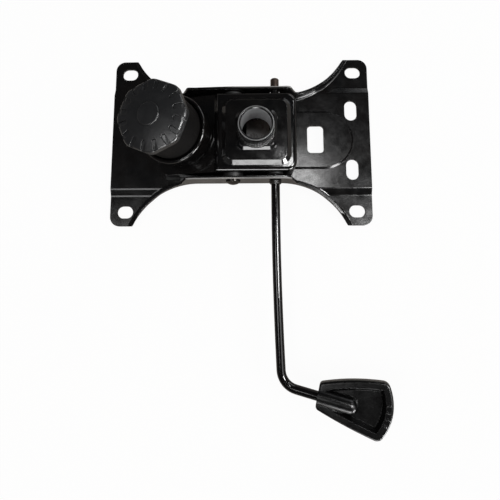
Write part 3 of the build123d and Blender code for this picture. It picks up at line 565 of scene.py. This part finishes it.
def make_camera():
    """The fitted camera, which sees the object as the photograph does."""
    data = bpy.data.cameras.new("camera")
    data.sensor_fit = "HORIZONTAL"
    data.sensor_width = sensor_mm
    data.lens = focal_px / picture_px * sensor_mm
    data.shift_x = (picture_px / 2 - centre_px[0]) / picture_px
    data.shift_y = (centre_px[1] - picture_px / 2) / picture_px
    data.clip_start = nearest_seen
    turn = (Matrix.Rotation(camera_pitch, 4, "X") @ Matrix.Rotation(camera_yaw, 4, "Y")
            @ Matrix.Rotation(camera_roll, 4, "Z"))
    camera = bpy.data.objects.new("camera", data)
    camera.matrix_world = Matrix.Translation(camera_place) @ turn
    bpy.context.collection.objects.link(camera)
    bpy.context.scene.camera = camera


def background_share(n):
    """1 for rays that should see the plain white background, and 0 for those that light the object."""
    path = n.add("ShaderNodeLightPath").outputs
    rays = ("Is Camera Ray", "Is Glossy Ray", "Is Transmission Ray")
    return joined(n, "MAXIMUM", *(path[ray] for ray in rays))


def make_world():
    """White where it is seen, and a weaker light on the object."""
    world = bpy.data.worlds.new("world")
    bpy.context.scene.world = world
    world.use_nodes = True
    n = Nodes(world.node_tree)
    seen = n.add("ShaderNodeBackground", Color=(1, 1, 1, 1), Strength=1.0)
    light = n.add("ShaderNodeBackground", Color=(*sky_colour, 1), Strength=sky_strength)
    out = n.add("ShaderNodeOutputWorld")
    n.link(mixed(n, background_share(n), light.outputs[0], seen.outputs[0]), out.inputs["Surface"])


def stage_object(name, bm, material):
    """A mesh of one material that stands round the object."""
    mesh = bpy.data.meshes.new(name)
    bm.to_mesh(mesh)
    bm.free()
    mesh.materials.append(material)
    obj = bpy.data.objects.new(name, mesh)
    bpy.context.collection.objects.link(obj)
    return obj


def floor_material():
    """Nearly plain white to the camera, a soft pale face to the light, and duller in reflections."""
    material, n, out = start_material("floor", floor_colour)
    lit = n.add("ShaderNodeBsdfDiffuse", Color=(*floor_colour, 1))
    dull = n.add("ShaderNodeBsdfDiffuse", Color=(*floor_mirrored, 1))
    white = n.add("ShaderNodeEmission", Color=(1, 1, 1, 1), Strength=1.0)
    share = n.add("ShaderNodeMath", operation="MULTIPLY")
    n.link(background_share(n), share.inputs[0])
    share.inputs[1].default_value = floor_white_share
    seen = mixed(n, share.outputs[0], lit.outputs[0], white.outputs[0])
    path = n.add("ShaderNodeLightPath")
    n.link(mixed(n, path.outputs["Is Glossy Ray"], seen, dull.outputs[0]), out.inputs["Surface"])
    return material


def make_floor():
    """The ground just below the seat plate's ears."""
    bm = bmesh.new()
    bmesh.ops.create_grid(bm, x_segments=1, y_segments=1, size=floor_half)
    floor = stage_object("floor", bm, floor_material())
    floor.location = (0, 0, -floor_gap)


def room_part(name, corners, level):
    """One dull side of the room, seen only in reflections."""
    bm = bmesh.new()
    bm.faces.new([bm.verts.new(corner) for corner in corners])
    material, n, out = start_material(name, (level, level, level))
    shader = n.add("ShaderNodeEmission", Color=(level, level, level, 1), Strength=1.0)
    n.link(shader.outputs[0], out.inputs["Surface"])
    side = stage_object(name, bm, material)
    for ray in ("visible_camera", "visible_diffuse", "visible_shadow", "visible_transmission"):
        setattr(side, ray, False)


def make_room():
    """A dim room that only reflections see, so that the gloss paint is black between its highlights."""
    ring = [(sx * room_half, sy * room_half) for sx, sy in ((-1, -1), (1, -1), (1, 1), (-1, 1))]
    room_part("ceiling", [(x, y, room_top) for x, y in ring], ceiling_level)
    for i in range(4):
        (ax, ay), (bx, by) = ring[i], ring[(i + 1) % 4]
        corners = [(ax, ay, room_foot), (bx, by, room_foot), (bx, by, room_top), (ax, ay, room_top)]
        room_part("room_wall_%d" % i, corners, wall_level)


def make_lamp(name, place, target, size, power, color=(1, 1, 1), mirrored_only=False):
    """A lit rectangle at a place, turned to its target. With mirrored_only it makes a highlight and lights
    nothing else."""
    data = bpy.data.lights.new(name, "AREA")
    data.shape = "RECTANGLE"
    data.size, data.size_y = size
    data.energy = power
    data.color = color
    lamp = bpy.data.objects.new(name, data)
    place = Vector(place)
    aim = (Vector(target) - place).to_track_quat("-Z", "Y")
    lamp.matrix_world = Matrix.Translation(place) @ aim.to_matrix().to_4x4()
    lamp.visible_diffuse = not mirrored_only
    bpy.context.collection.objects.link(lamp)


def make_lamps():
    """Three lamps that light the object, and five that only make the highlights: on the walls, the plate,
    the rod and the rounded ends."""
    make_lamp("key", place=(1.3, -0.30, 1.35), target=(0.03, -0.05, 0.03), size=(1.0, 1.0), power=9.0)
    make_lamp("fill", place=(0.9, 1.3, 0.5), target=(0.0, 0.0, 0.03), size=(0.9, 0.5), power=4.0,
              color=(0.96, 0.98, 1.0))
    make_lamp("window", place=(0.06, -1.6, 0.53), target=(0.017, -0.03, 0.045), size=(0.70, 0.58),
              power=15.0, mirrored_only=True)
    make_lamp("low_window", place=(1.0, -1.2, 0.22), target=(0.03, -0.03, 0.045), size=(0.6, 0.26),
              power=28.0, mirrored_only=True)
    make_lamp("over", place=(-0.45, -0.26, 1.1), target=(-0.07, -0.02, 0.08), size=(0.45, 0.40), power=2.8)
    make_lamp("plate_light", place=(0.155, 0.150, 1.0), target=(0.058, -0.040, 0.01), size=(0.12, 0.10),
              power=1.2, mirrored_only=True)
    make_lamp("rod_light", place=(0.53, -0.125, 0.9), target=(0.035, -0.125, 0.025), size=(0.24, 0.22),
              power=9.2, mirrored_only=True)
    make_lamp("glint", place=(0.55, 0.35, 0.60), target=(0.03, -0.02, 0.03), size=(0.10, 0.05),
              power=0.40, mirrored_only=True)


make_camera()
make_world()
make_floor()
make_room()
make_lamps()

finishes = {**painted_finishes(), **moulded_finishes(), **metal_finishes()}
for node, obj in nodes.items():
    dress(obj, finishes[finish_of[node]])
tube_bead(finishes["weld"])
flute_beds(finishes["cap"])
split_spring(finishes["spring"])

bpy.context.scene.view_settings.view_transform = "Standard"
